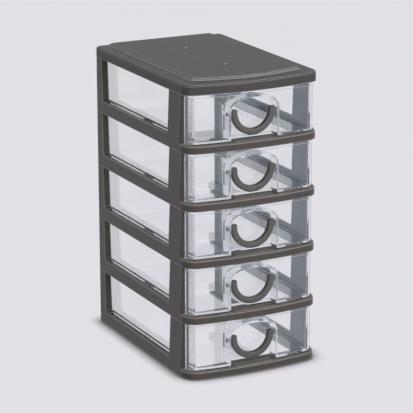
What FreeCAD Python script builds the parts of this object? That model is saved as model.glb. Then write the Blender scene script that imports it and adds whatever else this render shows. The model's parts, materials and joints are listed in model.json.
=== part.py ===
import FreeCAD, Part
import os

import Sketcher

# Desk tower of small drawers: five equal frames stacked on corner posts under a top cover,
# with one clear drawer and its hanging pull in each frame.
# Millimetres, Z up, front towards -Y, origin at the middle of the underside.

TIERS = 5
FIRST_SHEET_ROW = 1

SIZES = {
    # Whole tower
    "tower_width": 125,
    "tower_depth": 186,
    "front_bow": 5.3,
    "front_corner": 12.8,
    "rear_corner": 5,
    "tier_pitch": 49,
    # Frame
    "moulding_wall": 2.2,
    "bar_height": 7,
    "bar_edge": 1,
    "shelf_depth": 14,
    "sill_height": 11,
    "sill_wall": 1.8,
    "post_depth": 6.5,
    "post_inset": 0.6,
    "front_post_setback": 14.7,
    "front_post_width": 23.5,
    "front_post_corner": 4.5,
    "rear_post_width": 13,
    "window_slope": 2.2,
    "window_corner": 3,
    "runner_height": 7.6,
    "runner_width": 12.5,
    "hollow_depth": 4.8,
    "tenon_height": 4,
    "tenon_width": 8,
    "tenon_clearance": 0.15,
    "tenon_chamfer": 0.7,
    "strip_width": 36,
    "strip_setback": 2.2,
    "strip_depth": 9.6,
    "strip_height": 7.4,
    "strip_groove": 0.9,
    "strip_groove_depth": 0.6,
    # Top cover
    "lid_height": 9.2,
    "lid_bow": 8.5,
    "lid_corner": 8,
    "lid_edge": 1.4,
    "lid_soft_edge": 0.8,
    "ledge_height": 0.9,
    "ledge_width": 2.2,
    "ledge_edge": 0.5,
    "plateau_height": 1.3,
    "plateau_edge": 0.7,
    "plateau_corner": 1.5,
    "plateau_border": 13.2,
    "plateau_front_border": 12,
    "plateau_rear_border": 5,
    "plateau_bow": 9,
    "gate_mark_radius": 1.4,
    "gate_mark_depth": 0.3,
    "gate_mark_spacing": 74,
    "gate_mark_shift": 1,
    # Drawer
    "drawer_wall": 1.4,
    "drawer_floor": 1.4,
    "drawer_side_gap": 1.3,
    "drawer_depth": 178,
    "drawer_wall_height": 37.4,
    "drawer_rear_curve": 5.5,
    "drawer_foot_curve": 1.5,
    "drawer_inner_curve": 2.5,
    "panel_wall": 1.4,
    "panel_setback": 3.5,
    "panel_inset": 2.2,
    "panel_corner": 10,
    "panel_height": 40.6,
    "panel_gap": 0.5,
    "rim_height": 2.4,
    "rim_wall": 1.1,
    # Finger recess
    "recess_half_width": 21.8,
    "recess_crown": 35.2,
    "recess_top_radius": 45,
    "recess_shoulder": 9,
    "recess_depth": 11.5,
    # Pull
    "pull_half_width": 20.3,
    "pull_bar": 5.4,
    "pull_bar_depth": 5,
    "pull_arm_top": 3.2,
    "pull_drop": 19.2,
    "pull_turn": 180,
    "pin_radius": 1.6,
    "pin_clearance": 0.06,
    "pin_height": 22,
    "pin_setback": 4.4,
    "pin_end": 1.4,
    # Reach of a cut past the face that it starts from
    "overrun": 2,
    # How near an edge lies to the place where it is looked for
    "match": 0.02,
}

ZERO = "0"
HALF_WIDTH = "(Sizes.tower_width / 2)"
REAR = "(Sizes.tower_depth / 2)"
FRONT = "(0 - Sizes.tower_depth / 2)"
HALF_WIDTH_SQUARED = "(Sizes.tower_width * Sizes.tower_width / 4)"
BOW_RADIUS = f"(({HALF_WIDTH_SQUARED} + Sizes.front_bow * Sizes.front_bow) / (2 * Sizes.front_bow))"
BOW_CENTRE = f"({FRONT} + {BOW_RADIUS})"
POST_FRONT = f"({FRONT} + Sizes.front_post_setback)"
POST_INNER = f"({HALF_WIDTH} - Sizes.post_depth)"
RUNNER_INNER = f"({HALF_WIDTH} - Sizes.runner_width)"
PANEL_RADIUS = f"({BOW_RADIUS} - Sizes.panel_setback)"
PANEL_HALF = f"({HALF_WIDTH} - Sizes.panel_inset)"
SHELF_REAR = f"({FRONT} + Sizes.shelf_depth)"
WINDOW_FRONT = f"({POST_FRONT} + Sizes.front_post_width)"
WINDOW_REAR = f"({REAR} - Sizes.rear_post_width)"
TRAY_START = f"({FRONT} + Sizes.panel_setback - Sizes.overrun)"
DRAWER_HALF = f"({POST_INNER} - Sizes.drawer_side_gap)"
DRAWER_REAR = f"({FRONT} + Sizes.panel_setback + Sizes.drawer_depth)"
RECESS_BACK = f"({FRONT} + Sizes.panel_setback + Sizes.recess_depth)"
PIN_LINE = f"({FRONT} + Sizes.panel_setback + Sizes.pin_setback)"
LID_RADIUS = f"(({HALF_WIDTH_SQUARED} + Sizes.lid_bow * Sizes.lid_bow) / (2 * Sizes.lid_bow))"
LID_LINE = f"({FRONT} + Sizes.lid_bow)"
LEDGE_TOP = "(Sizes.lid_height + Sizes.ledge_height)"
COVER_TOP = f"({LEDGE_TOP} + Sizes.plateau_height)"
PLATEAU_HALF = f"({HALF_WIDTH} - Sizes.plateau_border)"
PLATEAU_RADIUS = f"(({PLATEAU_HALF} * {PLATEAU_HALF} / Sizes.plateau_bow + Sizes.plateau_bow) / 2)"
PLATEAU_CENTRE = f"({FRONT} + Sizes.plateau_front_border + {PLATEAU_RADIUS})"


def minus(text):
    return f"(0 - {text})"


def bow_line(radius, across, centre=BOW_CENTRE):
    """Distance along Y of a bowed face, which is concentric with the front where no other centre is given."""
    return f"({centre} - sqrt({radius} * {radius} - {across} * {across}))"


def new_sheet(doc):
    sheet = doc.addObject("Spreadsheet::Sheet", "Sizes")
    for row, (name, size) in enumerate(SIZES.items(), FIRST_SHEET_ROW):
        sheet.set(f"A{row}", name)
        sheet.set(f"B{row}", str(size))
        sheet.setAlias(f"B{row}", name)
    doc.recompute()
    return sheet


def new_body(doc, name):
    body = doc.addObject("PartDesign::Body", name)
    body.Label = name
    return body


def new_sketch(body, plane, name, height=None):
    """Sketch on one of the body's own planes, moved along the plane's normal."""
    sketch = body.newObject("Sketcher::SketchObject", name)
    origin_plane = [item for item in body.Origin.OriginFeatures if item.Role == plane + "_Plane"][0]
    sketch.AttachmentSupport = [(origin_plane, "")]
    sketch.MapMode = "FlatFace"
    if height is not None:
        sketch.setExpression("AttachmentOffset.Base.z", height)
    return sketch


def bind(sketch, kind, geometry, text):
    """Dimension that follows an expression."""
    value = float(sketch.evalExpression(text))
    index = sketch.addConstraint(Sketcher.Constraint(kind, *geometry, value))
    sketch.setExpression(f"Constraints[{index}]", text)


def bind_point(sketch, geometry, end, place):
    bind(sketch, "DistanceX", (-1, 1, geometry, end), place[0])
    bind(sketch, "DistanceY", (-1, 1, geometry, end), place[1])


def arc_middle(start, finish, radius, bulge):
    """Point halfway along an arc that bulges to the left (1) or right (-1) of its chord."""
    chord = finish.sub(start)
    half = chord.Length / 2
    rise = radius - (radius * radius - half * half) ** 0.5
    side = FreeCAD.Vector(-chord.y, chord.x, 0).normalize()
    return start.add(finish).multiply(1 / 2).add(side.multiply(rise * bulge))


def outline(sketch, corners):
    """Closed outline. A corner is (across, up) or, where an arc leaves it, (across, up, radius, bulge)."""
    places = [
        FreeCAD.Vector(float(sketch.evalExpression(corner[0])), float(sketch.evalExpression(corner[1])), 0)
        for corner in corners
    ]
    count = len(corners)
    first = sketch.GeometryCount
    starts = []
    for number, corner in enumerate(corners):
        start = places[number]
        finish = places[(number + 1) % count]
        if len(corner) == 2:
            sketch.addGeometry(Part.LineSegment(start, finish), False)
        else:
            radius = float(sketch.evalExpression(corner[2]))
            middle = arc_middle(start, finish, radius, corner[3])
            sketch.addGeometry(Part.Arc(start, middle, finish), False)
        index = first + number
        is_start = sketch.getPoint(index, 1).sub(start).Length < sketch.getPoint(index, 2).sub(start).Length
        starts.append(1 if is_start else 2)
    for number, corner in enumerate(corners):
        following = (number + 1) % count
        joint = (first + number, 3 - starts[number], first + following, starts[following])
        sketch.addConstraint(Sketcher.Constraint("Coincident", *joint))
    for number, corner in enumerate(corners):
        bind_point(sketch, first + number, starts[number], corner)
        if len(corner) > 2:
            bind(sketch, "Radius", (first + number,), corner[2])


def rectangle(sketch, left, right, low, high):
    outline(sketch, [(left, low), (right, low), (right, high), (left, high)])


def circle(sketch, place, radius):
    centre = FreeCAD.Vector(*(float(sketch.evalExpression(text)) for text in place), 0)
    size = float(sketch.evalExpression(radius))
    index = sketch.addGeometry(Part.Circle(centre, FreeCAD.Vector(0, 0, 1), size), False)
    bind_point(sketch, index, 3, place)
    bind(sketch, "Radius", (index,), radius)


def pad(body, sketch, length, both_ways=False, reverse=False):
    feature = body.newObject("PartDesign::Pad", sketch.Name + "_pad")
    feature.Profile = sketch
    feature.setExpression("Length", length)
    feature.Midplane = both_ways
    feature.Reversed = reverse
    body.Document.recompute()
    return feature


def pocket(body, sketch, length, both_ways=False, reverse=False):
    """Cut from a sketch, which has to take something away."""
    before = body.Shape.Volume
    feature = body.newObject("PartDesign::Pocket", sketch.Name + "_pocket")
    feature.Profile = sketch
    feature.setExpression("Length", length)
    feature.Midplane = both_ways
    feature.Reversed = reverse
    body.Document.recompute()
    if not feature.Shape.Volume < before:
        raise ValueError(f"{feature.Name} cuts nothing")
    return feature


def mirrored(body, features):
    """Repeat features on the other side of the YZ plane."""
    feature = body.newObject("PartDesign::Mirrored", features[0].Name + "_mirrored")
    feature.Originals = features
    plane = [item for item in body.Origin.OriginFeatures if item.Role == "YZ_Plane"][0]
    feature.MirrorPlane = (plane, [""])
    body.Tip = feature
    body.Document.recompute()
    return feature


def dressed(body, kind, name, wanted):
    """Fillet or chamfer of the edges that a test picks."""
    carrier = body.Tip
    names = [f"Edge{number}" for number, edge in enumerate(carrier.Shape.Edges, 1) if wanted(edge)]
    if not names:
        raise ValueError(f"{name} has no edge")
    feature = body.newObject("PartDesign::" + kind, name)
    feature.Base = (carrier, names)
    return feature


def rounded(body, name, radius, wanted):
    feature = dressed(body, "Fillet", name, wanted)
    feature.setExpression("Radius", radius)
    body.Document.recompute()


def chamfered(body, name, size, wanted):
    feature = dressed(body, "Chamfer", name, wanted)
    feature.setExpression("Size", size)
    body.Document.recompute()


def measure(doc, text):
    return float(doc.Sizes.evalExpression(text))


def edges_along(doc, axis, spots):
    """Test for edges that run mainly along an axis (0, 1, 2) and start at one of the given spots."""
    places = [(measure(doc, first), measure(doc, second)) for first, second in spots]
    reach = measure(doc, "Sizes.match")
    others = [item for item in range(3) if item != axis]

    def wanted(edge):
        box = edge.BoundBox
        spans = (box.XLength, box.YLength, box.ZLength)
        if spans[axis] < reach or spans[axis] < max(spans[item] for item in others):
            return False
        start = min((vertex.Point for vertex in edge.Vertexes), key=lambda point: point[axis])
        return any(
            abs(start[others[0]] - first) < reach and abs(start[others[1]] - second) < reach
            for first, second in places
        )

    return wanted


def level_edges(doc, height, front=FRONT, rear=REAR):
    """Test for level edges at a height, between two places along Y."""
    level = measure(doc, height)
    reach = measure(doc, "Sizes.match")
    low = measure(doc, front) - reach
    high = measure(doc, rear) + reach

    def wanted(edge):
        box = edge.BoundBox
        return box.ZLength < reach and abs(box.ZMin - level) < reach and low < box.YMin and box.YMax < high

    return wanted


def both_sides(across, along):
    return [(across, along), (minus(across), along)]


def tenon_places():
    """Footprints of the right-hand posts' tenons, as (inner x, outer x, front y, rear y)."""
    outer = f"({HALF_WIDTH} - Sizes.moulding_wall - Sizes.tenon_clearance)"
    inner = f"({POST_INNER} + Sizes.tenon_clearance)"
    front_start = f"({POST_FRONT} + Sizes.front_post_corner)"
    rear_end = f"({REAR} - Sizes.moulding_wall - Sizes.tenon_clearance)"
    return [
        (inner, outer, front_start, f"({front_start} + Sizes.tenon_width)"),
        (inner, outer, f"({rear_end} - Sizes.tenon_width)", rear_end),
    ]


def cut_sockets(body):
    """Sockets in an underside, which take the tenons of the posts below."""
    sketch = new_sketch(body, "XY", "sockets")
    clearance = "Sizes.tenon_clearance"
    for inner, outer, front, rear in tenon_places():
        rectangle(
            sketch,
            f"{inner} - {clearance}",
            f"{outer} + {clearance}",
            f"{front} - {clearance}",
            f"{rear} + {clearance}",
        )
    cut = pocket(body, sketch, f"Sizes.tenon_height + {clearance}", reverse=True)
    mirrored(body, [cut])


def frame(doc, tier):
    """Frame of one tier: bowed front bar, two side rails with runners, and four posts with tenons."""
    body = new_body(doc, f"frame_{tier}")
    body.setExpression("Placement.Base.z", f"{tier - 1} * Sizes.tier_pitch")
    frame_bar(body)
    frame_sides(body)
    thin_sills(body)
    lean_sides(body)
    bar_strip(body)
    hollow_rails(body)
    cut_sockets(body)
    add_tenons(body)
    return body


def bar_outline(half, corner, radius):
    """Front line of a bowed outline with rounded corners, as (touch, touch line, corner line)."""
    centre = f"({half} - {corner})"
    touch = f"({centre} * {radius} / ({radius} - {corner}))"
    return touch, bow_line(radius, touch), bow_line(f"({radius} - {corner})", centre)


def frame_bar(body):
    """Bowed front bar with rounded corners and a soft top edge."""
    doc = body.Document
    touch, touch_line, corner_end = bar_outline(HALF_WIDTH, "Sizes.front_corner", BOW_RADIUS)
    plan = new_sketch(body, "XY", "bar_plan")
    outline(plan, [
        (minus(HALF_WIDTH), corner_end, "Sizes.front_corner", -1),
        (minus(touch), touch_line, BOW_RADIUS, -1),
        (touch, touch_line, "Sizes.front_corner", -1),
        (HALF_WIDTH, corner_end),
        (RUNNER_INNER, corner_end),
        (RUNNER_INNER, SHELF_REAR),
        (minus(RUNNER_INNER), SHELF_REAR),
        (minus(RUNNER_INNER), corner_end),
    ])
    pad(body, plan, "Sizes.bar_height")
    chamfered(body, "bar_edge", "Sizes.bar_edge", level_edges(doc, "Sizes.bar_height", FRONT, touch_line))


def frame_sides(body):
    """Rail, runner, side wall with its window, and rounded nose of the front post, on both sides."""
    doc = body.Document
    corner_end = bar_outline(HALF_WIDTH, "Sizes.front_corner", BOW_RADIUS)[2]
    rail = new_sketch(body, "XY", "rail_plan")
    rectangle(rail, RUNNER_INNER, HALF_WIDTH, corner_end, REAR)
    rail_pad = pad(body, rail, "Sizes.bar_height")
    runner = new_sketch(body, "XY", "runner_plan", "Sizes.bar_height")
    rectangle(runner, RUNNER_INNER, POST_INNER, POST_FRONT, REAR)
    runner_pad = pad(body, runner, "Sizes.runner_height - Sizes.bar_height")
    wall_front = f"({POST_FRONT} + Sizes.front_post_corner)"
    side = new_sketch(body, "YZ", "side_profile", POST_INNER)
    outline(side, [
        (wall_front, "Sizes.bar_height"),
        (REAR, "Sizes.bar_height"),
        (REAR, "Sizes.tier_pitch"),
        (WINDOW_REAR, "Sizes.tier_pitch"),
        (f"{WINDOW_REAR} - Sizes.window_slope", "Sizes.sill_height"),
        (f"{WINDOW_FRONT} + Sizes.window_slope", "Sizes.sill_height"),
        (WINDOW_FRONT, "Sizes.tier_pitch"),
        (wall_front, "Sizes.tier_pitch"),
    ])
    side_pad = pad(body, side, "Sizes.post_depth")
    nose = new_sketch(body, "XY", "post_nose", "Sizes.bar_height")
    outline(nose, [
        (POST_INNER, POST_FRONT),
        (f"{HALF_WIDTH} - Sizes.front_post_corner", POST_FRONT, "Sizes.front_post_corner", -1),
        (HALF_WIDTH, wall_front),
        (POST_INNER, wall_front),
    ])
    nose_pad = pad(body, nose, "Sizes.tier_pitch - Sizes.bar_height")
    mirrored(body, [rail_pad, runner_pad, side_pad, nose_pad])
    rounded(body, "rear_corners", "Sizes.rear_corner", edges_along(doc, 2, both_sides(HALF_WIDTH, REAR)))
    rounded(body, "window_corners", "Sizes.window_corner", edges_along(doc, 0, [
        (f"{WINDOW_REAR} - Sizes.window_slope", "Sizes.sill_height"),
        (f"{WINDOW_FRONT} + Sizes.window_slope", "Sizes.sill_height"),
    ]))


def thin_sills(body):
    """Wall under each window, thinned from inside between the posts."""
    corner = "(Sizes.window_slope + Sizes.window_corner)"
    sketch = new_sketch(body, "XY", "sill_relief", "Sizes.sill_height")
    rectangle(
        sketch,
        f"{POST_INNER} - Sizes.overrun",
        f"{HALF_WIDTH} - Sizes.sill_wall",
        f"{WINDOW_FRONT} + {corner}",
        f"{WINDOW_REAR} - {corner}",
    )
    cut = pocket(body, sketch, "Sizes.sill_height - Sizes.runner_height")
    mirrored(body, [cut])


def lean_sides(body):
    """Draft on the outer side faces, so that each post is narrower at its top."""
    wedge = new_sketch(body, "XZ", "side_draft")
    beyond = f"({HALF_WIDTH} + Sizes.overrun)"
    above = "(Sizes.tier_pitch + Sizes.overrun)"
    lean = f"(Sizes.post_inset * ({above} - Sizes.bar_height) / (Sizes.tier_pitch - Sizes.bar_height))"
    outline(wedge, [
        (HALF_WIDTH, "Sizes.bar_height"),
        (beyond, "Sizes.bar_height"),
        (beyond, above),
        (f"{HALF_WIDTH} - {lean}", above),
    ])
    cut = pocket(body, wedge, "Sizes.tower_depth + 2 * Sizes.overrun", both_ways=True)
    mirrored(body, [cut])


def bar_strip(body):
    """Raised strip with a groove, in the middle of the bar's top, under the drawer's recess."""
    strip = new_sketch(body, "XY", "strip", "Sizes.bar_height")
    bowed_band(strip, "Sizes.strip_setback", "Sizes.strip_depth", "(Sizes.strip_width / 2)")
    pad(body, strip, "Sizes.strip_height - Sizes.bar_height")
    groove = new_sketch(body, "XY", "strip_groove", "Sizes.strip_height")
    setback = "(Sizes.strip_setback + (Sizes.strip_depth - Sizes.strip_groove) / 2)"
    bowed_band(groove, setback, "Sizes.strip_groove", "(Sizes.strip_width / 2 - Sizes.strip_groove)")
    pocket(body, groove, "Sizes.strip_groove_depth")


def bowed_band(sketch, setback, depth, half):
    """Band across the front, bounded by two bowed lines and two straight ends."""
    front_radius = f"({BOW_RADIUS} - {setback})"
    rear_radius = f"({BOW_RADIUS} - {setback} - {depth})"
    outline(sketch, [
        (minus(half), bow_line(front_radius, half), front_radius, -1),
        (half, bow_line(front_radius, half)),
        (half, bow_line(rear_radius, half), rear_radius, 1),
        (minus(half), bow_line(rear_radius, half)),
    ])


def hollow_rails(body):
    """Hollow underside of the bar and of both rails."""
    wall = "Sizes.moulding_wall"
    bar = new_sketch(body, "XY", "bar_hollow")
    half = f"({RUNNER_INNER} - {wall})"
    hollow_front = bow_line(f"({BOW_RADIUS} - {wall})", half)
    rectangle(bar, minus(half), half, hollow_front, f"{SHELF_REAR} - {wall}")
    pocket(body, bar, "Sizes.hollow_depth", reverse=True)
    rail = new_sketch(body, "XY", "rail_hollow")
    front_tenon, rear_tenon = tenon_places()
    rectangle(
        rail,
        f"{RUNNER_INNER} + {wall}",
        f"{HALF_WIDTH} - {wall}",
        f"{front_tenon[3]} + {wall}",
        f"{rear_tenon[2]} - {wall}",
    )
    cut = pocket(body, rail, "Sizes.hollow_depth", reverse=True)
    mirrored(body, [cut])


def add_tenons(body):
    """Tenons on the post tops, which plug into the frame or cover above."""
    doc = body.Document
    sketch = new_sketch(body, "XY", "tenons", "Sizes.tier_pitch")
    for place in tenon_places():
        rectangle(sketch, *place)
    tenons = pad(body, sketch, "Sizes.tenon_height")
    mirrored(body, [tenons])
    top = level_edges(doc, "Sizes.tier_pitch + Sizes.tenon_height")
    chamfered(body, "tenon_lead", "Sizes.tenon_chamfer", top)


def cover(doc):
    """Top cover: bowed lid with a soft edge, a stepped plateau, and sockets for the top posts."""
    body = new_body(doc, "top_cover")
    body.setExpression("Placement.Base.z", f"{TIERS} * Sizes.tier_pitch")
    plan = new_sketch(body, "XY", "lid_plan")
    outline(plan, [
        (minus(HALF_WIDTH), LID_LINE, LID_RADIUS, -1),
        (HALF_WIDTH, LID_LINE),
        (HALF_WIDTH, REAR),
        (minus(HALF_WIDTH), REAR),
    ])
    pad(body, plan, "Sizes.lid_height")
    front_corners = edges_along(doc, 2, both_sides(HALF_WIDTH, LID_LINE))
    rounded(body, "lid_front_corners", "Sizes.lid_corner", front_corners)
    rounded(body, "lid_rear_corners", "Sizes.rear_corner", edges_along(doc, 2, both_sides(HALF_WIDTH, REAR)))
    chamfered(body, "lid_edge", "Sizes.lid_edge", level_edges(doc, "Sizes.lid_height"))
    upper = level_edges(doc, "Sizes.lid_height")
    lower = level_edges(doc, "Sizes.lid_height - Sizes.lid_edge")
    chamfered(body, "lid_soft_edge", "Sizes.lid_soft_edge", lambda edge: upper(edge) or lower(edge))
    add_step(body, "ledge", "Sizes.lid_height", LEDGE_TOP, "Sizes.ledge_width")
    add_step(body, "plateau", LEDGE_TOP, COVER_TOP, ZERO)
    gate_marks(body)
    hollow_lid(body)
    cut_sockets(body)
    return body


def add_step(body, name, low, high, outset):
    """One step of the plateau, with its outline moved outwards from the plateau's own."""
    doc = body.Document
    half = f"({PLATEAU_HALF} + {outset})"
    radius = f"({PLATEAU_RADIUS} + {outset})"
    corner_line = bow_line(radius, half, PLATEAU_CENTRE)
    rear = f"({REAR} - Sizes.plateau_rear_border + {outset})"
    plan = new_sketch(body, "XY", f"{name}_plan", low)
    outline(plan, [
        (minus(half), corner_line, radius, -1),
        (half, corner_line),
        (half, rear),
        (minus(half), rear),
    ])
    pad(body, plan, f"{high} - {low}")
    corners = both_sides(half, corner_line) + both_sides(half, rear)
    rounded(body, f"{name}_corners", f"Sizes.plateau_corner + {outset}", edges_along(doc, 2, corners))
    chamfered(body, f"{name}_edge", f"Sizes.{name}_edge", level_edges(doc, high))


def gate_marks(body):
    """Two round moulding gate marks in the plateau."""
    marks = new_sketch(body, "XY", "gate_marks", COVER_TOP)
    for side in ("Sizes.gate_mark_spacing / 2", "(0 - Sizes.gate_mark_spacing / 2)"):
        circle(marks, (ZERO, f"Sizes.gate_mark_shift + {side}"), "Sizes.gate_mark_radius")
    pocket(body, marks, "Sizes.gate_mark_depth")


def hollow_lid(body):
    """Hollow underside of the cover, which leaves a block round each socket."""
    wall = "Sizes.moulding_wall"
    front_tenon, rear_tenon = tenon_places()
    narrow = f"({POST_INNER} - {wall})"
    wide = f"({HALF_WIDTH} - {wall})"
    front = f"({LID_LINE} + {wall})"
    rear = f"({REAR} - {wall})"
    block_rear = f"({front_tenon[3]} + {wall})"
    block_front = f"({rear_tenon[2]} - {wall})"
    right = [
        (narrow, front),
        (narrow, block_rear),
        (wide, block_rear),
        (wide, block_front),
        (narrow, block_front),
        (narrow, rear),
    ]
    left = [(minus(across), along) for across, along in reversed(right)]
    sketch = new_sketch(body, "XY", "lid_hollow")
    outline(sketch, right + left)
    pocket(body, sketch, f"Sizes.lid_height - {wall}", reverse=True)


def drawer(doc, tier):
    """Clear drawer: tray with a curved rear foot, wrapped front panel and arched finger recess."""
    body = new_body(doc, f"drawer_{tier}")
    body.setExpression("Placement.Base.z", f"{tier - 1} * Sizes.tier_pitch + Sizes.runner_height")
    tray(body)
    recess_block(body)
    trim_front(body)
    panel(body)
    cut_recess(body)
    return body


def tray(body):
    """Floor, side walls and rear wall."""
    wall = "Sizes.drawer_wall"
    floor = "Sizes.drawer_floor"
    inner_half = f"({DRAWER_HALF} - {wall})"
    outside = new_sketch(body, "XZ", "tray_section", minus(DRAWER_REAR))
    trough(outside, DRAWER_HALF, ZERO, "Sizes.drawer_wall_height", "Sizes.drawer_foot_curve")
    pad(body, outside, f"{DRAWER_REAR} - {TRAY_START}")
    inner_rear = f"({DRAWER_REAR} - {wall})"
    inside = new_sketch(body, "XZ", "tray_inside", minus(inner_rear))
    above = "(Sizes.drawer_wall_height + Sizes.overrun)"
    trough(inside, inner_half, floor, above, "Sizes.drawer_inner_curve")
    pocket(body, inside, f"{inner_rear} - {TRAY_START} + Sizes.overrun", reverse=True)
    curve = f"(Sizes.drawer_rear_curve - {wall})"
    fillet = new_sketch(body, "YZ", "rear_inner_curve")
    outline(fillet, [
        (f"{inner_rear} - {curve}", floor, curve, -1),
        (inner_rear, f"{floor} + {curve}"),
        (f"{inner_rear} + {wall} / 2", f"{floor} + {curve}"),
        (f"{inner_rear} + {wall} / 2", f"{floor} / 2"),
        (f"{inner_rear} - {curve}", f"{floor} / 2"),
    ])
    pad(body, fillet, f"2 * {inner_half} + {wall}", both_ways=True)
    outer = "Sizes.drawer_rear_curve"
    corner = new_sketch(body, "YZ", "rear_outer_curve")
    outline(corner, [
        (f"{DRAWER_REAR} - {outer}", ZERO, outer, -1),
        (DRAWER_REAR, outer),
        (f"{DRAWER_REAR} + Sizes.overrun", outer),
        (f"{DRAWER_REAR} + Sizes.overrun", "0 - Sizes.overrun"),
        (f"{DRAWER_REAR} - {outer}", "0 - Sizes.overrun"),
    ])
    pocket(body, corner, f"2 * ({DRAWER_HALF} + Sizes.overrun)", both_ways=True)


def trough(sketch, half, low, high, curve):
    """Front view of the tray, with rounded lower corners."""
    outline(sketch, [
        (minus(half), f"{low} + {curve}", curve, -1),
        (f"{curve} - {half}", low),
        (f"{half} - {curve}", low, curve, -1),
        (half, f"{low} + {curve}"),
        (half, high),
        (minus(half), high),
    ])


def arch(sketch, inset, low):
    """Front view of the recess: upright sides, round shoulders and a flat-arched top."""
    half = f"(Sizes.recess_half_width + {inset})"
    shoulder = f"(Sizes.recess_shoulder + {inset})"
    radius = f"(Sizes.recess_top_radius + {inset})"
    crown = f"(Sizes.recess_crown + {inset})"
    centre = f"({half} - {shoulder})"
    top_centre = f"({crown} - {radius})"
    rise = f"sqrt(({radius} - {shoulder}) * ({radius} - {shoulder}) - {centre} * {centre})"
    share = f"({radius} / ({radius} - {shoulder}))"
    spring = f"({top_centre} + {rise})"
    touch = f"({centre} * {share})"
    touch_height = f"({top_centre} + {rise} * {share})"
    outline(sketch, [
        (minus(half), low),
        (half, low),
        (half, spring, shoulder, -1),
        (touch, touch_height, radius, -1),
        (minus(touch), touch_height, shoulder, -1),
        (minus(half), spring),
    ])


def recess_block(body):
    """Arched housing of the finger recess, behind the panel."""
    back = f"({RECESS_BACK} + Sizes.drawer_wall)"
    sketch = new_sketch(body, "XZ", "recess_outside", minus(back))
    arch(sketch, "Sizes.drawer_wall", ZERO)
    pad(body, sketch, f"{back} - {TRAY_START}")


def trim_front(body):
    """Cut of the tray and the housing along the middle of the bowed panel."""
    radius = f"({PANEL_RADIUS} - Sizes.panel_wall / 2)"
    half = f"({DRAWER_HALF} + Sizes.overrun)"
    ahead = f"({TRAY_START} - Sizes.overrun)"
    sketch = new_sketch(body, "XY", "front_trim", "0 - Sizes.overrun")
    outline(sketch, [
        (minus(half), ahead),
        (half, ahead),
        (half, bow_line(radius, half), radius, 1),
        (minus(half), bow_line(radius, half)),
    ])
    pocket(body, sketch, "Sizes.panel_height + 2 * Sizes.overrun", reverse=True)


def wrap(sketch, setback, wall, end):
    """Plan of a bowed band whose rounded corners turn back along the sides to a given place."""
    corners = []
    for inset in ("0", wall):
        radius = f"({PANEL_RADIUS} - {setback} - {inset})"
        corner = f"(Sizes.panel_corner - {setback} - {inset})"
        half = f"({PANEL_HALF} - {setback} - {inset})"
        centre = f"({half} - {corner})"
        centre_line = bow_line(f"({radius} - {corner})", centre)
        touch = f"({centre} * {radius} / ({radius} - {corner}))"
        side = f"({centre} + sqrt({corner} * {corner} - ({centre_line} - {end}) * ({centre_line} - {end})))"
        corners.append((radius, corner, touch, bow_line(radius, touch), side))
    radius, corner, touch, touch_line, side = corners[0]
    outer = [
        (minus(side), end, corner, -1),
        (minus(touch), touch_line, radius, -1),
        (touch, touch_line, corner, -1),
        (side, end),
    ]
    radius, corner, touch, touch_line, side = corners[1]
    inner = [
        (side, end, corner, 1),
        (touch, touch_line, radius, 1),
        (minus(touch), touch_line, corner, 1),
        (minus(side), end),
    ]
    outline(sketch, outer + inner)


def panel(body):
    """Front panel with its wrapped sides and the thicker rim along its top."""
    end = f"({POST_FRONT} - Sizes.panel_gap)"
    sketch = new_sketch(body, "XY", "panel_plan")
    wrap(sketch, "0", "Sizes.panel_wall", end)
    pad(body, sketch, "Sizes.panel_height")
    rim = new_sketch(body, "XY", "rim_plan", "Sizes.panel_height - Sizes.rim_height")
    wrap(rim, "(Sizes.panel_wall / 2)", "(Sizes.panel_wall / 2 + Sizes.rim_wall)", end)
    pad(body, rim, "Sizes.rim_height")


def cut_recess(body):
    """Space of the finger recess, open below, with holes for the pull's pins in its side walls."""
    sketch = new_sketch(body, "XZ", "recess_inside", minus(RECESS_BACK))
    arch(sketch, ZERO, "(0 - Sizes.overrun)")
    pocket(body, sketch, f"{RECESS_BACK} - {TRAY_START} + Sizes.overrun", reverse=True)
    holes = new_sketch(body, "YZ", "pin_holes")
    circle(holes, (PIN_LINE, "Sizes.pin_height"), "Sizes.pin_radius + Sizes.pin_clearance")
    pocket(body, holes, "2 * (Sizes.recess_half_width + Sizes.drawer_wall + Sizes.overrun)", both_ways=True)


def pull(doc, tier):
    """Hanging pull: a round-edged half ring with two short arms and a snap pin on each."""
    body = new_body(doc, f"handle_{tier}")
    body.setExpression("Placement.Base.y", PIN_LINE)
    body.setExpression(
        "Placement.Base.z", f"{tier - 1} * Sizes.tier_pitch + Sizes.runner_height + Sizes.pin_height"
    )
    ring = "(Sizes.pull_half_width - Sizes.pull_bar / 2)"
    ring_height = "(Sizes.pull_half_width - Sizes.pull_drop)"
    section = new_sketch(body, "XY", "pull_section", ring_height)
    bar_section(section, ring)
    bar = body.newObject("PartDesign::Revolution", "half_ring")
    bar.Profile = section
    bar.ReferenceAxis = (section, ["V_Axis"])
    bar.setExpression("Angle", "Sizes.pull_turn")
    doc.recompute()
    arm = new_sketch(body, "XY", "pull_arm", ring_height)
    bar_section(arm, ring)
    arm_pad = pad(body, arm, f"Sizes.pull_arm_top - {ring_height}")
    mirrored(body, [arm_pad])
    add_pins(body, ring)
    return body


def bar_section(sketch, middle):
    half = "(Sizes.pull_bar / 2)"
    half_up = "(Sizes.pull_bar_depth / 2)"
    rectangle(sketch, f"{middle} - {half}", f"{middle} + {half}", minus(half_up), half_up)


def add_pins(body, ring):
    """Plain pins that spring into the holes of the recess walls."""
    profile = new_sketch(body, "YZ", "pin_profile", ring)
    circle(profile, (ZERO, ZERO), "Sizes.pin_radius")
    pin = pad(body, profile, f"Sizes.recess_half_width + Sizes.drawer_wall + Sizes.pin_end - {ring}")
    mirrored(body, [pin])


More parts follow.
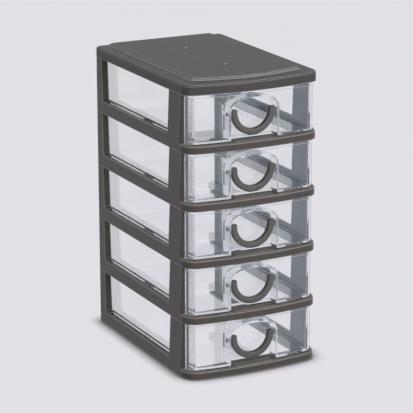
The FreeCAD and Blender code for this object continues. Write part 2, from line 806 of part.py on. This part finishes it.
def check(doc, bodies):
    """Every object has computed, and every piece is one valid solid."""
    failed = [item.Name for item in doc.Objects if "Invalid" in item.State or "Error" in item.State]
    if failed:
        raise ValueError(f"failed objects: {failed}")
    for body in bodies:
        shape = body.Tip.Shape
        if shape.isNull() or not shape.isValid() or len(shape.Solids) != 1:
            raise ValueError(f"{body.Label} is not one valid solid")


def main():
    doc = FreeCAD.newDocument("drawer_tower")
    new_sheet(doc)
    bodies = [cover(doc)]
    for tier in range(1, TIERS + 1):
        bodies += [frame(doc, tier), drawer(doc, tier), pull(doc, tier)]
    doc.recompute()
    check(doc, bodies)
    os.makedirs("parts", exist_ok=True)
    for body in bodies:
        body.Shape.exportStep(f"parts/{body.Label}.step")


main()
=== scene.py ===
import json
import math

import bmesh
import bpy
from mathutils import Matrix, Vector


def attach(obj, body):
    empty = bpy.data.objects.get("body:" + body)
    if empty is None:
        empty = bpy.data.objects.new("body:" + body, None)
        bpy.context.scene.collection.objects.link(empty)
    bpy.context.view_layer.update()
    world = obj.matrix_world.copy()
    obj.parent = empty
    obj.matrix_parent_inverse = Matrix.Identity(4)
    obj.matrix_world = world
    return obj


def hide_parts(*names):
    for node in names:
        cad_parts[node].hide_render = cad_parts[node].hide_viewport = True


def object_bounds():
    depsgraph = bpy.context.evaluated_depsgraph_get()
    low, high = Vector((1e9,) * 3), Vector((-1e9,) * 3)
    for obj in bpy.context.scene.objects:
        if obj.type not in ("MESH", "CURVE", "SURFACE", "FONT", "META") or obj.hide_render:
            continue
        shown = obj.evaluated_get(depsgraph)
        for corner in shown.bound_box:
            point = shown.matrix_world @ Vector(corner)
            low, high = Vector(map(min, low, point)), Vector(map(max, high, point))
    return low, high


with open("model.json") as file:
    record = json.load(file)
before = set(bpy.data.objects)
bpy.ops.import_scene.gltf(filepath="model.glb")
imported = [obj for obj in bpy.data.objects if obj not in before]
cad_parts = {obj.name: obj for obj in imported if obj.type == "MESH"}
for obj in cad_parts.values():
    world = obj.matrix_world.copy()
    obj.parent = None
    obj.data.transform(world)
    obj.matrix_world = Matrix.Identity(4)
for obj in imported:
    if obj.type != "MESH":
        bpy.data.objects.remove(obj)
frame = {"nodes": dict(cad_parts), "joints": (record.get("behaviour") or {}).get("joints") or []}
cad_box = [list(corner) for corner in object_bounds()]

MM = 0.001
TIERS = 5
BACKDROP = (0.776, 0.761, 0.799)
PLAIN_WHITE = (1.0, 1.0, 1.0)

# Values between which a noise mostly lies
NOISE_LOW = 0.3
NOISE_HIGH = 0.7

# Bevelled normal times the face's own: below EDGE_START a point counts as edge
EDGE_START = 0.998

# Dark plastic; its edges get a painted highlight, a paler colour, and a lower roughness
MOTTLE = 0.04
EDGE_ROUGHNESS = 0.2
EDGE_HIGHLIGHT_FULL = 0.975
GRAIN_DEPTH = 0.06 * MM
GRAIN_STRENGTH = 0.18

# Clear plastic: edges that scatter a pale colour as a painted highlight, slightly hazed where the camera
# meets it
CLEAR_EDGE = 0.6 * MM
CLEAR_EDGE_HIGHLIGHT = 0.8
CLEAR_EDGE_FULL = 0.88
CLEAR_BLOOM = 0.07
CLEAR_IOR = 1.47
WAVE_DEPTH = 0.8 * MM
WAVE_STRENGTH = 0.1
# After this many bounces a wall only passes light straight on, with a little scatter
DEEP_BOUNCES = 4.5
DEEP_SCATTER = 0.1

# Floor
FLOOR_REACH = 9.0
FLOOR_DROP = 0.2 * MM
FLOOR_LIT_SHARE = 0.05
CONTACT_REACH = 13 * MM


# Node helpers
def new_material(name):
    material = bpy.data.materials.new(name)
    material.use_nodes = True
    material.node_tree.nodes.clear()
    return material


def add(tree, kind, inputs=None, **settings):
    """A new node; each input is either another node's output or a value."""
    node = tree.nodes.new("ShaderNode" + kind)
    for key, value in settings.items():
        setattr(node, key, value)
    for key, value in (inputs or {}).items():
        if isinstance(value, bpy.types.NodeSocket):
            tree.links.new(value, node.inputs[key])
        else:
            node.inputs[key].default_value = value
    return node


def object_place(tree):
    return add(tree, "TexCoord").outputs["Object"]


def noise(tree, place, scale, detail, roughness):
    inputs = {"Vector": place, "Scale": scale, "Detail": detail, "Roughness": roughness}
    return add(tree, "TexNoise", inputs).outputs["Fac"]


def ramp(tree, source, stops):
    node = add(tree, "ValToRGB", {"Fac": source})
    elements = node.color_ramp.elements
    while len(elements) < len(stops):
        elements.new(0.5)
    for element, (place, color) in zip(elements, stops):
        element.position = place
        element.color = (*color, 1)
    return node.outputs["Color"]


def noise_ramp(tree, source, low, high):
    """A noise value turned into colours from low to high."""
    return ramp(tree, source, [(NOISE_LOW, low), (NOISE_HIGH, high)])


def noise_range(tree, source, low, high):
    """A noise value turned into numbers from low to high."""
    node = add(tree, "MapRange", {
        "Value": source,
        "From Min": NOISE_LOW,
        "From Max": NOISE_HIGH,
        "To Min": low,
        "To Max": high,
    })
    return node.outputs["Result"]


def combined(tree, operation, first, second):
    return add(tree, "Math", {0: first, 1: second}, operation=operation).outputs[0]


def blend(tree, share, first, second):
    """Shader that is second where share is 1."""
    return add(tree, "MixShader", {0: share, 1: first, 2: second}).outputs["Shader"]


def color_blend(tree, share, first, second, blend_type="MIX"):
    inputs = {0: share, 6: first, 7: second}
    return add(tree, "Mix", inputs, data_type="RGBA", blend_type=blend_type).outputs[2]


def shaded(shade, share):
    """A colour darkened or lightened as a whole."""
    return tuple(part * share for part in shade)


def edge_share(tree, soft, sharpest, full):
    """0 on flat faces, rising to sharpest where the bevelled normal turns away to full."""
    straight = add(tree, "NewGeometry").outputs["Normal"]
    inputs = {0: soft.outputs["Normal"], 1: straight}
    flat = add(tree, "VectorMath", inputs, operation="DOT_PRODUCT")
    node = add(tree, "MapRange", {
        "Value": flat.outputs["Value"],
        "From Min": EDGE_START,
        "From Max": full,
        "To Min": 0.0,
        "To Max": sharpest,
    })
    return node.outputs["Result"]


def bumped(tree, height, strength, distance, soft):
    node = add(tree, "Bump", {
        "Height": height,
        "Strength": strength,
        "Distance": distance,
        "Normal": soft.outputs["Normal"],
    })
    return node.outputs["Normal"]


# Materials
def moulded_plastic(name, shade, roughness, edge, edge_highlight_gain):
    """Opaque moulded plastic: fine grain, faint flow marks, and a painted highlight: edges painted in a
    paler colour, and glossier.
    """
    material = new_material(name)
    tree = material.node_tree
    place = object_place(tree)
    grain = noise(tree, place, scale=2600, detail=3, roughness=0.6)
    flow = noise(tree, place, scale=14, detail=2, roughness=0.5)
    smear = noise(tree, place, scale=420, detail=4, roughness=0.6)
    soft = add(tree, "Bevel", {"Radius": edge}, samples=6)
    edge_highlight_and_gloss = edge_share(tree, soft, 1.0, EDGE_HIGHLIGHT_FULL)
    plain = noise_ramp(tree, flow, shaded(shade, 1 - MOTTLE), shaded(shade, 1 + MOTTLE))
    # Painted highlight: near edges the colour goes over to the shade made lighter by the gain
    color = color_blend(tree, edge_highlight_and_gloss, plain, (*shaded(shade, edge_highlight_gain), 1))
    satin = noise_range(tree, smear, *roughness)
    inputs = {0: edge_highlight_and_gloss, 2: satin, 3: EDGE_ROUGHNESS}
    finish = add(tree, "Mix", inputs, data_type="FLOAT").outputs[0]
    shader = add(tree, "BsdfPrincipled", {
        "Base Color": color,
        "Roughness": finish,
        "IOR": 1.5,
        "Specular IOR Level": 0.2,
        "Normal": bumped(tree, grain, GRAIN_STRENGTH, GRAIN_DEPTH, soft),
    })
    add(tree, "OutputMaterial", {"Surface": shader.outputs["BSDF"]})
    return material


def clear_plastic(name):
    """Clear moulded polystyrene: glassy, faintly wavy walls whose edges scatter a pale colour, a painted
    highlight.
    """
    material = new_material(name)
    tree = material.node_tree
    place = object_place(tree)
    wave = noise(tree, place, scale=24, detail=2, roughness=0.5)
    smear = noise(tree, place, scale=60, detail=5, roughness=0.6)
    soft = add(tree, "Bevel", {"Radius": CLEAR_EDGE}, samples=4)
    glass = add(tree, "BsdfPrincipled", {
        "Base Color": noise_ramp(tree, smear, (0.992, 0.996, 1.0), (0.996, 0.998, 1.0)),
        "Roughness": noise_range(tree, smear, 0.005, 0.02),
        "IOR": CLEAR_IOR,
        "Specular Tint": (0.6, 0.82, 1.0, 1),
        "Transmission Weight": 1.0,
        "Normal": bumped(tree, wave, WAVE_STRENGTH, WAVE_DEPTH, soft),
    })
    pale = noise_ramp(tree, smear, (0.76, 0.83, 0.93), (0.82, 0.88, 0.96))
    front = add(tree, "BsdfDiffuse", {"Color": pale})
    back = add(tree, "BsdfTranslucent", {"Color": pale})
    scatter = blend(tree, 0.5, front.outputs["BSDF"], back.outputs["BSDF"])
    clear = add(tree, "BsdfTransparent", {"Color": (0.985, 0.99, 0.995, 1)}).outputs["BSDF"]
    path = add(tree, "LightPath").outputs
    bloom = combined(tree, "MULTIPLY", path["Is Camera Ray"], CLEAR_BLOOM)
    # Painted highlight: near edges the glass gives way to the pale scatter
    painted_edge_highlight = edge_share(tree, soft, CLEAR_EDGE_HIGHLIGHT, CLEAR_EDGE_FULL)
    haze_and_edge_highlight = combined(tree, "MAXIMUM", painted_edge_highlight, bloom)
    wall = blend(tree, haze_and_edge_highlight, glass.outputs["BSDF"], scatter)
    deep = combined(tree, "GREATER_THAN", path["Ray Depth"], DEEP_BOUNCES)
    inner = blend(tree, deep, wall, blend(tree, DEEP_SCATTER, clear, scatter))
    light = combined(tree, "MAXIMUM", path["Is Shadow Ray"], path["Is Diffuse Ray"])
    add(tree, "OutputMaterial", {"Surface": blend(tree, light, inner, clear)})
    return material


def seen(tree):
    """1 for what the camera sees, straight or through gloss and clear plastic."""
    path = add(tree, "LightPath").outputs
    first = combined(tree, "MAXIMUM", path["Is Camera Ray"], path["Is Glossy Ray"])
    return combined(tree, "MAXIMUM", first, path["Is Transmission Ray"])


def floor_material():
    """Pale glowing floor with a painted shadow: a tight dark line where the object touches, painted from
    ambient occlusion into what the camera sees, and a small lit share that keeps the object's real
    shadow.
    """
    material = new_material("stage_floor")
    tree = material.node_tree
    mottle = noise(tree, object_place(tree), scale=6, detail=2, roughness=0.5)
    color = noise_ramp(tree, mottle, shaded(BACKDROP, 0.995), BACKDROP)
    # Painted shadow: the ambient occlusion near the object darkens the colour the camera sees
    inputs = {"Color": (*PLAIN_WHITE, 1), "Distance": CONTACT_REACH}
    near = add(tree, "AmbientOcclusion", inputs, samples=16)
    dark = ramp(tree, near.outputs["AO"], [
        (0.5, (0.1, 0.095, 0.095)),
        (0.68, (0.5, 0.49, 0.49)),
        (0.9, (0.86, 0.855, 0.855)),
        (1.0, PLAIN_WHITE),
    ])
    painted_contact_shadow = color_blend(tree, 1.0, color, dark, "MULTIPLY")
    camera_ray = add(tree, "LightPath").outputs["Is Camera Ray"]
    shown = color_blend(tree, camera_ray, color, painted_contact_shadow)
    glow = add(tree, "Emission", {"Color": shown, "Strength": 1.0})
    lit = add(tree, "BsdfDiffuse", {"Color": color}).outputs["BSDF"]
    both = blend(tree, FLOOR_LIT_SHARE, glow.outputs["Emission"], lit)
    add(tree, "OutputMaterial", {"Surface": blend(tree, seen(tree), lit, both)})
    return material


# Mesh helpers
def circle(steps):
    """Cosine and sine all round, from 0."""
    angles = [2 * math.pi * step / steps for step in range(steps)]
    return [(math.cos(angle), math.sin(angle)) for angle in angles]


def joined_rings(form, rings):
    """Quads from each ring of points to the next."""
    count = len(rings[0])
    for one, two in zip(rings, rings[1:]):
        for index in range(count):
            after = (index + 1) % count
            form.faces.new((one[index], one[after], two[after], two[index]))


def finished_mesh(name, form):
    bmesh.ops.recalc_face_normals(form, faces=form.faces)
    mesh = bpy.data.meshes.new(name)
    form.to_mesh(mesh)
    form.free()
    return mesh


def smoothed(mesh):
    for face in mesh.polygons:
        face.use_smooth = True
    return mesh


# Pull: a rounded half ring with two arms and two pins, drawn about the pins' line
PULL_RING = 17.6 * MM
PULL_RING_HEIGHT = 1.1 * MM
PULL_ARM_TOP = 3.2 * MM
PULL_ACROSS = 5.4 * MM
PULL_DEPTH = 5.0 * MM
PULL_CURVE = 1.3 * MM
PULL_TOP_CURVE = 0.8 * MM
PIN_RADIUS = 1.6 * MM
PIN_END = 24.6 * MM
PIN_EDGE = 0.4 * MM
RING_STEPS = 40
CURVE_STEPS = 5
PIN_STEPS = 32
SHARP_EDGE = math.radians(35)


def pull_section(inset):
    """Points of the bar's rounded section, as (outward, forward), drawn in by inset."""
    across = PULL_ACROSS / 2 - inset
    depth = PULL_DEPTH / 2 - inset
    curve = PULL_CURVE - inset
    points = []
    for turn, (side, front) in enumerate(((1, 1), (-1, 1), (-1, -1), (1, -1))):
        for step in range(CURVE_STEPS + 1):
            angle = math.radians(90 * (turn + step / CURVE_STEPS))
            points.append((
                side * (across - curve) + curve * math.cos(angle),
                front * (depth - curve) + curve * math.sin(angle),
            ))
    return points


def pull_stations():
    """Along the bar: (middle x, middle z, outward x, outward z, inset of the section)."""
    stations = []
    for step in range(CURVE_STEPS, 0, -1):
        angle = math.radians(90 * step / CURVE_STEPS)
        inset = PULL_TOP_CURVE * (1 - math.cos(angle))
        height = PULL_ARM_TOP - PULL_TOP_CURVE * (1 - math.sin(angle))
        stations.append((PULL_RING, height, 1, 0, inset))
    stations.append((PULL_RING, PULL_ARM_TOP - PULL_TOP_CURVE, 1, 0, 0))
    right = list(stations)
    for step in range(RING_STEPS + 1):
        angle = -math.pi * step / RING_STEPS
        across, up = math.cos(angle), math.sin(angle)
        stations.append((PULL_RING * across, PULL_RING_HEIGHT + PULL_RING * up, across, up, 0))
    stations += [(-x, z, -1, 0, inset) for x, z, _, _, inset in reversed(right)]
    return stations


def pull_bar_mesh():
    form = bmesh.new()
    rings = []
    for x, z, out_x, out_z, inset in pull_stations():
        rings.append([
            form.verts.new((x + outward * out_x, -forward, z + outward * out_z))
            for outward, forward in pull_section(inset)
        ])
    joined_rings(form, rings)
    form.faces.new(rings[0])
    form.faces.new(list(reversed(rings[-1])))
    return finished_mesh("pull_bar", form)


def pin_mesh(side):
    """Pin from the middle of an arm outwards, with a chamfered end."""
    form = bmesh.new()
    profile = [
        (PULL_RING, PIN_RADIUS),
        (PIN_END - PIN_EDGE, PIN_RADIUS),
        (PIN_END, PIN_RADIUS - PIN_EDGE),
    ]
    rings = []
    for along, radius in profile:
        rings.append([
            form.verts.new((side * along, radius * across, radius * up))
            for across, up in circle(PIN_STEPS)
        ])
    joined_rings(form, rings)
    form.faces.new(rings[0])
    form.faces.new(list(reversed(rings[-1])))
    return finished_mesh("pin", form)


def pull_mesh():
    """Bar and pins joined into one closed mesh."""
    collection = bpy.context.scene.collection
    bar = bpy.data.objects.new("pull_work", pull_bar_mesh())
    collection.objects.link(bar)
    pins = []
    for side in (-1, 1):
        pin = bpy.data.objects.new("pin_work", pin_mesh(side))
        collection.objects.link(pin)
        union = bar.modifiers.new("join", "BOOLEAN")
        union.operation = "UNION"
        union.solver = "EXACT"
        union.object = pin
        pins.append(pin)
    bpy.context.view_layer.update()
    evaluated = bar.evaluated_get(bpy.context.evaluated_depsgraph_get())
    joined = smoothed(bpy.data.meshes.new_from_object(evaluated))
    for item in (bar, *pins):
        bpy.data.objects.remove(item)
    joined.set_sharp_from_angle(angle=SHARP_EDGE)
    return joined


# Gate mark: a low dome in each dimple of the cover, just under the cover's top, painted pale as a
# painted highlight of its glint
MARK_RADIUS = 1.4 * MM
MARK_RISE = 0.28 * MM
MARK_FOOT = cad_box[1][2] - 0.3 * MM
MARK_MIDDLE = 1.0 * MM
MARK_SPACING = 74.0 * MM
MARK_RINGS = 4
MARK_SIDES = 24


def dome_mesh(middle):
    form = bmesh.new()
    rings = []
    for ring in range(MARK_RINGS):
        angle = math.pi / 2 * ring / MARK_RINGS
        radius = MARK_RADIUS * math.cos(angle)
        height = MARK_FOOT + MARK_RISE * math.sin(angle)
        rings.append([
            form.verts.new((radius * across, middle + radius * along, height))
            for across, along in circle(MARK_SIDES)
        ])
    top = form.verts.new((0, middle, MARK_FOOT + MARK_RISE))
    joined_rings(form, rings)
    last = rings[-1]
    for one, two in zip(last, last[1:] + last[:1]):
        form.faces.new((one, two, top))
    form.faces.new(list(reversed(rings[0])))
    return smoothed(finished_mesh("gate_mark", form))


# Finishes of the CAD nodes
# The last number of each finish is the gain of its painted edge highlight
dark = moulded_plastic("dark_moulded_plastic", (0.056, 0.051, 0.047), (0.32, 0.40), 1.2 * MM, 4.5)
# The cover's copy of the dark plastic is given a darker shade: painted shade for its top face, which the
# lamps light more
lid_finish = moulded_plastic("lid_moulded_plastic", (0.044, 0.042, 0.0405), (0.40, 0.48), 0.6 * MM, 9.0)
pull_finish = moulded_plastic("pull_moulded_plastic", (0.086, 0.082, 0.078), (0.24, 0.32), 0.4 * MM, 3.0)
# Gate marks are painted pale: a painted highlight standing in for the glint on each dome
mark_highlight_finish = moulded_plastic("gate_mark_painted_highlight", (0.42, 0.41, 0.40), (0.25, 0.35), 0.2 * MM, 1.5)
clear = clear_plastic("clear_polystyrene")


def finish_of(name):
    if name.startswith("drawer"):
        return clear
    return lid_finish if name == "top_cover" else dark


for name, node in frame["nodes"].items():
    for slot in node.material_slots:
        slot.material = finish_of(name)

# Pulls, each at its hinge
shared_pull = pull_mesh()
for tier in range(1, TIERS + 1):
    node = f"handle_{tier}"
    joint = next(item for item in frame["joints"] if item["name"] == f"handle_{tier}_hinge")
    piece = bpy.data.objects.new(f"pull_{tier}", shared_pull.copy())
    bpy.context.scene.collection.objects.link(piece)
    piece.data.transform(Matrix.Translation(Vector(joint["pos_m"])))
    piece.data.materials.clear()
    piece.data.materials.append(pull_finish)
    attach(piece, node)
    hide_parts(node)

# Gate marks, one each side of the cover's middle
for number, side in enumerate((-1, 1), 1):
    middle = MARK_MIDDLE + side * MARK_SPACING / 2
    piece = bpy.data.objects.new(f"gate_mark_{number}", dome_mesh(middle))
    bpy.context.scene.collection.objects.link(piece)
    piece.data.materials.append(mark_highlight_finish)
    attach(piece, "tower")

# Stage
floor_mesh = bpy.data.meshes.new("floor")
corners = [
    (-FLOOR_REACH, -FLOOR_REACH, 0),
    (FLOOR_REACH, -FLOOR_REACH, 0),
    (FLOOR_REACH, FLOOR_REACH, 0),
    (-FLOOR_REACH, FLOOR_REACH, 0),
]
floor_mesh.from_pydata(corners, [], [(0, 1, 2, 3)])
floor = bpy.data.objects.new("floor", floor_mesh)
floor.location.z = -FLOOR_DROP
bpy.context.scene.collection.objects.link(floor)
floor_mesh.materials.append(floor_material())

# World: the backdrop's colour where it is seen, a dimmer light elsewhere
WORLD_LIGHT = 0.42
world = bpy.data.worlds.new("studio")
bpy.context.scene.world = world
world.use_nodes = True
tree = world.node_tree
tree.nodes.clear()
shown = add(tree, "Background", {"Color": (*BACKDROP, 1), "Strength": 1.0})
light = add(tree, "Background", {"Color": (0.96, 0.97, 1.0, 1), "Strength": WORLD_LIGHT})
surface = blend(tree, seen(tree), light.outputs["Background"], shown.outputs["Background"])
add(tree, "OutputWorld", {"Surface": surface})


def softbox(name, place, aim_height, size, watts, color):
    """Square lamp, aimed at the tower's axis and not seen through the clear plastic."""
    lamp = bpy.data.lights.new(name, "AREA")
    lamp.shape = "RECTANGLE"
    lamp.size = size
    lamp.size_y = size
    lamp.energy = watts
    lamp.color = color
    item = bpy.data.objects.new(name, lamp)
    item.location = place
    item.visible_transmission = False
    towards = Vector((0, 0, aim_height)) - Vector(place)
    item.rotation_euler = towards.to_track_quat("-Z", "Y").to_euler()
    bpy.context.scene.collection.objects.link(item)


softbox("key", (1.0, -2.2, 0.95), aim_height=0.12, size=1.4, watts=42, color=(1.0, 0.99, 0.97))
softbox("fill", (-1.9, -0.3, 0.8), aim_height=0.12, size=1.2, watts=1.2, color=(0.95, 0.97, 1.0))
softbox("front", (-0.6, -2.5, 0.7), aim_height=0.12, size=1.0, watts=11, color=(1.0, 0.99, 0.98))
softbox("top", (-0.3, -0.5, 1.9), aim_height=0.2, size=0.7, watts=5, color=PLAIN_WHITE)
softbox("rear", (-1.3, 0.6, 1.6), aim_height=0.25, size=1.0, watts=4, color=PLAIN_WHITE)

# Camera: fitted to corner points of the photograph
IMAGE_WIDTH = 413
FOCAL_PIXELS = 2084.95
SENSOR_WIDTH = 36
CAMERA_PLACE = (-0.79355, -1.55853, 0.62578)
CAMERA_FAR = 50
AZIMUTH = math.radians(-26.999)
ELEVATION = math.radians(16.059)
ROLL = math.radians(0.115)
back = Vector((
    math.sin(AZIMUTH) * math.cos(ELEVATION),
    -math.cos(AZIMUTH) * math.cos(ELEVATION),
    math.sin(ELEVATION),
))
right = Vector((math.cos(AZIMUTH), math.sin(AZIMUTH), 0))
up = back.cross(right)
turn = Matrix((right, up, back)).transposed().to_4x4() @ Matrix.Rotation(-ROLL, 4, "Z")
camera_data = bpy.data.cameras.new("camera")
camera_data.sensor_fit = "HORIZONTAL"
camera_data.sensor_width = SENSOR_WIDTH
camera_data.lens = SENSOR_WIDTH * FOCAL_PIXELS / IMAGE_WIDTH
camera_data.clip_end = CAMERA_FAR
camera = bpy.data.objects.new("camera", camera_data)
camera.matrix_world = Matrix.Translation(CAMERA_PLACE) @ turn
bpy.context.scene.collection.objects.link(camera)
bpy.context.scene.camera = camera
bpy.context.scene.view_settings.view_transform = "Standard"

# Bounces enough for light to pass both walls of every drawer
CLEAR_BOUNCES = 32
STRAIGHT_BOUNCES = 48
bpy.context.scene.cycles.max_bounces = CLEAR_BOUNCES
bpy.context.scene.cycles.transmission_bounces = CLEAR_BOUNCES
bpy.context.scene.cycles.transparent_max_bounces = STRAIGHT_BOUNCES
